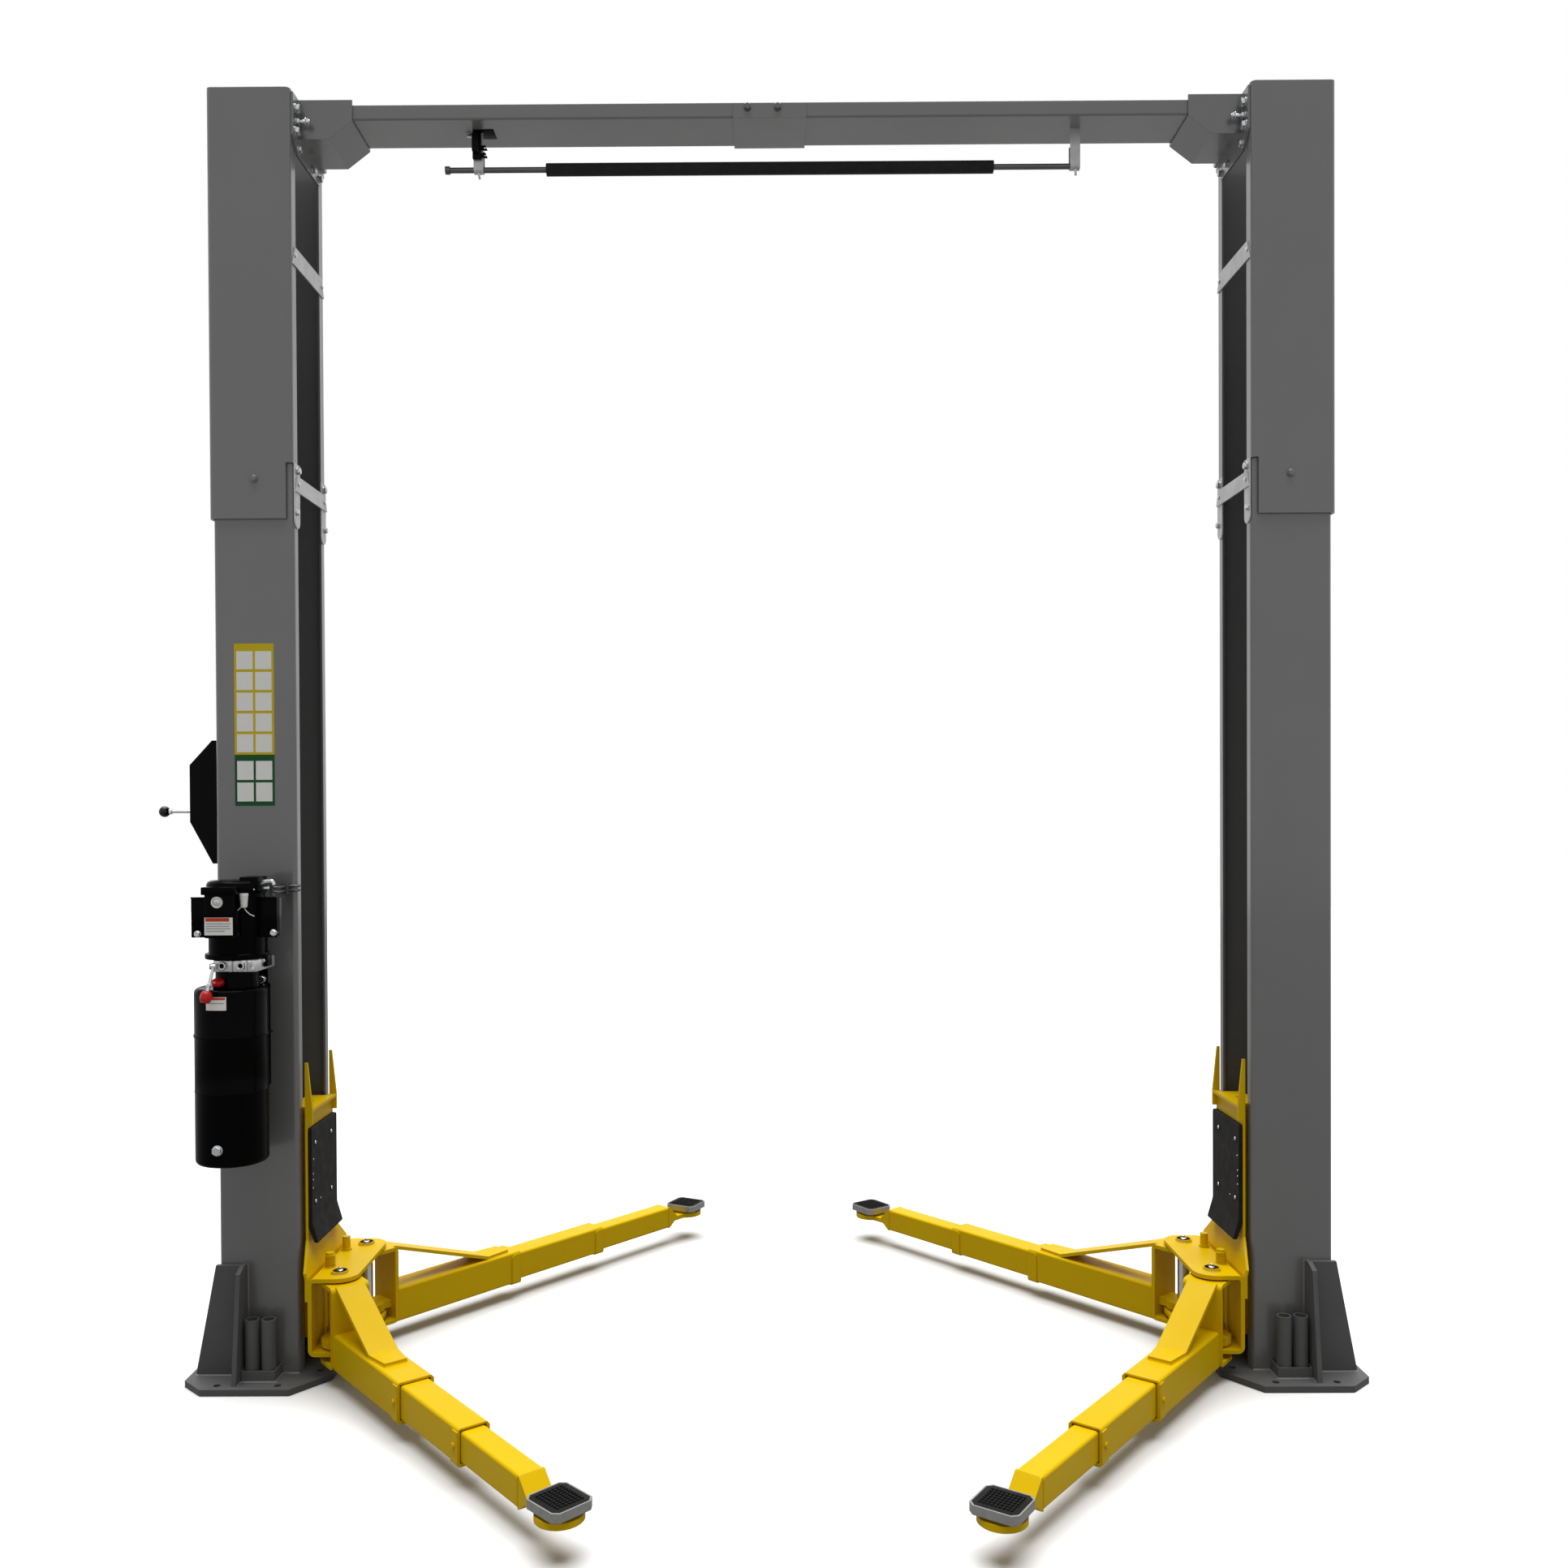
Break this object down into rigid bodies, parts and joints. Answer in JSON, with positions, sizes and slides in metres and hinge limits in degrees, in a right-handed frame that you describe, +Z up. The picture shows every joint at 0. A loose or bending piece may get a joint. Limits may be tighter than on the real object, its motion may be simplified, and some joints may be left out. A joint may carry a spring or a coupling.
{
  "type": "two post car lift",
  "caption": "Two post car lift with C section columns, an overhead channel, two sliding carriages, telescoping swing arms with swivel pads and a power unit.",
  "frame": {"origin": "on the floor, midway between the two columns, in the plane through their middles", "axes": "+X to the right across the bay seen from the front, +Y to the back along the parked car, +Z up"},
  "size_m": [3.657, 2.5714, 3.86],
  "materials": {
    "column_grey": "satin powder coat",
    "yellow_paint": "gloss powder coat",
    "strap_steel": "satin grey",
    "dark_steel": "satin dark",
    "black_enamel": "gloss black enamel",
    "cast_aluminium": "as cast",
    "bright_steel": "zinc plated",
    "pin_chrome": "chrome plated",
    "pad_steel": "zinc plated plate",
    "bumper_rubber": "smooth black rubber",
    "pad_rubber": "ribbed black rubber",
    "foam": "closed cell foam"
  },
  "bodies": {
    "root": {"left_base_plate": "column_grey", "left_column": "column_grey", "left_extension": "column_grey", "left_straps": "strap_steel", "left_adapters": "dark_steel", "left_lift_cylinder": "dark_steel", "left_beam_bracket": "column_grey", "left_beam": "column_grey", "right_base_plate": "column_grey", "right_column": "column_grey", "right_extension": "column_grey", "right_straps": "strap_steel", "right_adapters": "dark_steel", "right_lift_cylinder": "dark_steel", "right_beam_bracket": "column_grey", "right_beam": "column_grey", "beam_sleeve": "column_grey", "bar_hangers": "strap_steel", "oil_tank": "black_enamel", "pump_block": "cast_aluminium", "motor": "black_enamel", "hydraulic_lines": "dark_steel", "lock_cover": "black_enamel"},
    "left_carriage": {"left_carriage": "yellow_paint", "left_bumper": "bumper_rubber", "left_hinge_pins": "pin_chrome"},
    "left_front_restraint": {"left_front_restraint": "yellow_paint"},
    "left_rear_restraint": {"left_rear_restraint": "yellow_paint"},
    "right_carriage": {"right_carriage": "yellow_paint", "right_bumper": "bumper_rubber", "right_hinge_pins": "pin_chrome"},
    "right_front_restraint": {"right_front_restraint": "yellow_paint"},
    "right_rear_restraint": {"right_rear_restraint": "yellow_paint"},
    "left_front_arm": {"left_front_hinge_arm": "yellow_paint"},
    "left_front_middle_tube": {"left_front_middle_tube": "yellow_paint"},
    "left_front_inner_tube": {"left_front_inner_tube": "yellow_paint"},
    "left_front_pad": {"left_front_pad_tray": "pad_steel", "left_front_pad_rubber": "pad_rubber"},
    "left_rear_arm": {"left_rear_hinge_arm": "yellow_paint"},
    "left_rear_middle_tube": {"left_rear_middle_tube": "yellow_paint"},
    "left_rear_inner_tube": {"left_rear_inner_tube": "yellow_paint"},
    "left_rear_pad": {"left_rear_pad_tray": "pad_steel", "left_rear_pad_rubber": "pad_rubber"},
    "right_front_arm": {"right_front_hinge_arm": "yellow_paint"},
    "right_front_middle_tube": {"right_front_middle_tube": "yellow_paint"},
    "right_front_inner_tube": {"right_front_inner_tube": "yellow_paint"},
    "right_front_pad": {"right_front_pad_tray": "pad_steel", "right_front_pad_rubber": "pad_rubber"},
    "right_rear_arm": {"right_rear_hinge_arm": "yellow_paint"},
    "right_rear_middle_tube": {"right_rear_middle_tube": "yellow_paint"},
    "right_rear_inner_tube": {"right_rear_inner_tube": "yellow_paint"},
    "right_rear_pad": {"right_rear_pad_tray": "pad_steel", "right_rear_pad_rubber": "pad_rubber"},
    "shutoff_bar": {"shutoff_bar": "bright_steel", "bar_foam": "foam"},
    "valve_lever": {"valve_lever": "bright_steel"},
    "release_lever": {"release_lever": "dark_steel"}
  },
  "joints": [
    {"name": "left_carriage_lift", "type": "slide", "parent": "root", "child": "left_carriage", "axis": [0, 0, 1], "range_m": [0, 1.7]},
    {"name": "right_carriage_lift", "type": "slide", "parent": "root", "child": "right_carriage", "axis": [0, 0, 1], "range_m": [0, 1.7]},
    {"name": "left_front_restraint_pull", "type": "slide", "parent": "left_carriage", "child": "left_front_restraint", "axis": [0, 0, 1], "range_m": [0, 0.025], "stiffness_N_per_m": 300, "springref_m": -0.02},
    {"name": "left_rear_restraint_pull", "type": "slide", "parent": "left_carriage", "child": "left_rear_restraint", "axis": [0, 0, 1], "range_m": [0, 0.025], "stiffness_N_per_m": 300, "springref_m": -0.02},
    {"name": "right_front_restraint_pull", "type": "slide", "parent": "right_carriage", "child": "right_front_restraint", "axis": [0, 0, 1], "range_m": [0, 0.025], "stiffness_N_per_m": 300, "springref_m": -0.02},
    {"name": "right_rear_restraint_pull", "type": "slide", "parent": "right_carriage", "child": "right_rear_restraint", "axis": [0, 0, 1], "range_m": [0, 0.025], "stiffness_N_per_m": 300, "springref_m": -0.02},
    {"name": "left_front_arm_swing", "type": "hinge", "parent": "left_carriage", "child": "left_front_arm", "pos_m": [-1.31, -0.14, 0.18], "axis": [0, 0, -1], "range_deg": [-37, 37]},
    {"name": "left_front_middle_tube_slide", "type": "slide", "parent": "left_front_arm", "child": "left_front_middle_tube", "axis": [0.6252, -0.7804, 0], "range_m": [-0.295, 0.029]},
    {"name": "left_front_inner_tube_slide", "type": "slide", "parent": "left_front_middle_tube", "child": "left_front_inner_tube", "axis": [0.6252, -0.7804, 0], "range_m": [-0.267, 0.033]},
    {"name": "left_front_pad_swivel", "type": "hinge", "parent": "left_front_inner_tube", "child": "left_front_pad", "pos_m": [-0.50219, -1.14832, 0.112], "axis": [0, 0, 1], "continuous": true},
    {"name": "left_rear_arm_swing", "type": "hinge", "parent": "left_carriage", "child": "left_rear_arm", "pos_m": [-1.31, 0.14, 0.18], "axis": [0, 0, 1], "range_deg": [-35, 39]},
    {"name": "left_rear_middle_tube_slide", "type": "slide", "parent": "left_rear_arm", "child": "left_rear_middle_tube", "axis": [0.6521, 0.7581, 0], "range_m": [-0.353, 0.026]},
    {"name": "left_rear_inner_tube_slide", "type": "slide", "parent": "left_rear_middle_tube", "child": "left_rear_inner_tube", "axis": [0.6521, 0.7581, 0], "range_m": [-0.332, 0.026]},
    {"name": "left_rear_pad_swivel", "type": "hinge", "parent": "left_rear_inner_tube", "child": "left_rear_pad", "pos_m": [-0.34815, 1.25825, 0.112], "axis": [0, 0, 1], "continuous": true},
    {"name": "right_front_arm_swing", "type": "hinge", "parent": "right_carriage", "child": "right_front_arm", "pos_m": [1.31, -0.14, 0.18], "axis": [0, 0, 1], "range_deg": [-38, 36]},
    {"name": "right_front_middle_tube_slide", "type": "slide", "parent": "right_front_arm", "child": "right_front_middle_tube", "axis": [-0.617, -0.7869, 0], "range_m": [-0.3, 0.024]},
    {"name": "right_front_inner_tube_slide", "type": "slide", "parent": "right_front_middle_tube", "child": "right_front_inner_tube", "axis": [-0.617, -0.7869, 0], "range_m": [-0.274, 0.026]},
    {"name": "right_front_pad_swivel", "type": "hinge", "parent": "right_front_inner_tube", "child": "right_front_pad", "pos_m": [0.50538, -1.16616, 0.112], "axis": [0, 0, 1], "continuous": true},
    {"name": "right_rear_arm_swing", "type": "hinge", "parent": "right_carriage", "child": "right_rear_arm", "pos_m": [1.31, 0.14, 0.18], "axis": [0, 0, -1], "range_deg": [-36, 38]},
    {"name": "right_rear_middle_tube_slide", "type": "slide", "parent": "right_rear_arm", "child": "right_rear_middle_tube", "axis": [-0.6494, 0.7604, 0], "range_m": [-0.316, 0.063]},
    {"name": "right_rear_inner_tube_slide", "type": "slide", "parent": "right_rear_middle_tube", "child": "right_rear_inner_tube", "axis": [-0.6494, 0.7604, 0], "range_m": [-0.308, 0.05]},
    {"name": "right_rear_pad_swivel", "type": "hinge", "parent": "right_rear_inner_tube", "child": "right_rear_pad", "pos_m": [0.39168, 1.21521, 0.112], "axis": [0, 0, 1], "continuous": true},
    {"name": "shutoff_bar_tilt", "type": "hinge", "parent": "root", "child": "shutoff_bar", "pos_m": [-0.896, 0, 3.681], "axis": [0, -1, 0], "range_deg": [0, 1.2]},
    {"name": "valve_lever_turn", "type": "hinge", "parent": "root", "child": "valve_lever", "pos_m": [-1.591, -0.372, 1.267], "axis": [-1, 0, 0], "range_deg": [0, 30]},
    {"name": "release_lever_turn", "type": "hinge", "parent": "root", "child": "release_lever", "pos_m": [-1.742, 0, 1.708], "axis": [0, -1, 0], "range_deg": [0, 20], "stiffness_Nm_per_rad": 2, "springref_deg": -20.05}
  ],
  "couplings": [
    {"joint": "right_carriage_lift", "follows": "left_carriage_lift", "ratio": 1}
  ]
}
